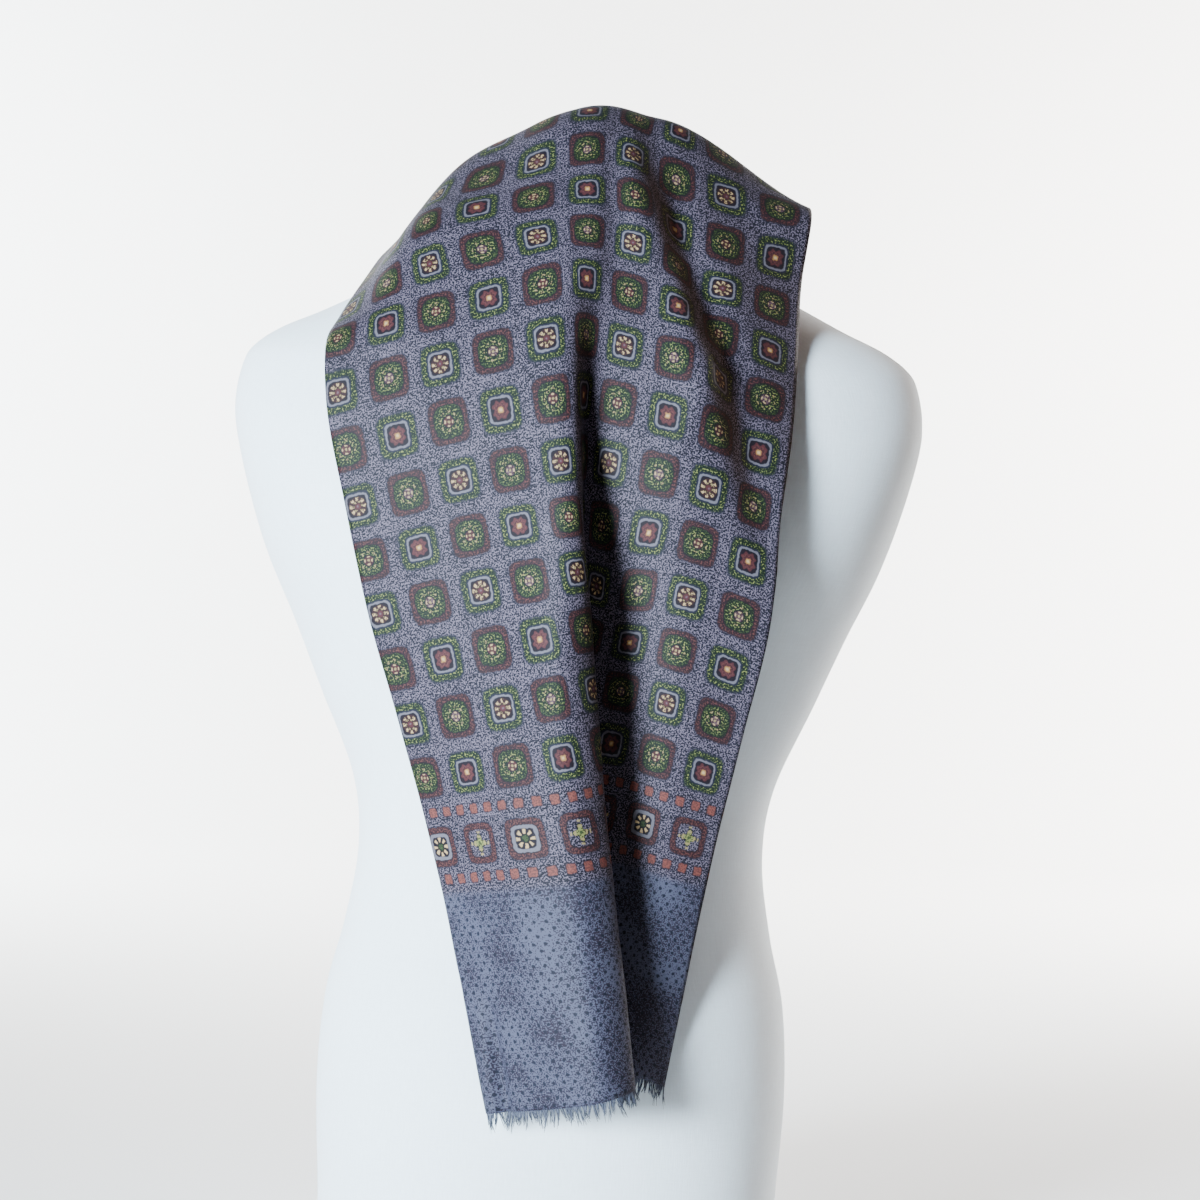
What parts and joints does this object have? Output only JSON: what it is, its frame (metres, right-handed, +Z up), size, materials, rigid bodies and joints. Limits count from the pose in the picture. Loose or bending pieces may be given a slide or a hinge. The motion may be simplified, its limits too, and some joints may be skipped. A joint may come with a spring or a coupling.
{
  "type": "fringed scarf on a limbless dress form",
  "caption": "Rectangular printed scarf with frayed ends, draped over the neck of a smooth limbless torso form, with one long pleat down its front.",
  "frame": {"origin": "middle of the dress form's flat base", "axes": "+Z up along the form, -Y towards its front, +X to the viewer's right when facing its front"},
  "size_m": [0.391, 0.3032, 0.6586],
  "materials": {
    "printed_cloth": "fine woven cloth with a soft satin sheen",
    "frayed_threads": "loose frayed warp threads",
    "white_jersey": "matt stretch jersey over a hard shell"
  },
  "bodies": {
    "root": {"scarf_front_fall": "printed_cloth", "scarf_neck_stretch": "printed_cloth", "scarf_back_fall": "printed_cloth", "fringe_front": "frayed_threads", "fringe_back": "frayed_threads", "dress_form": "white_jersey"}
  },
  "joints": []
}
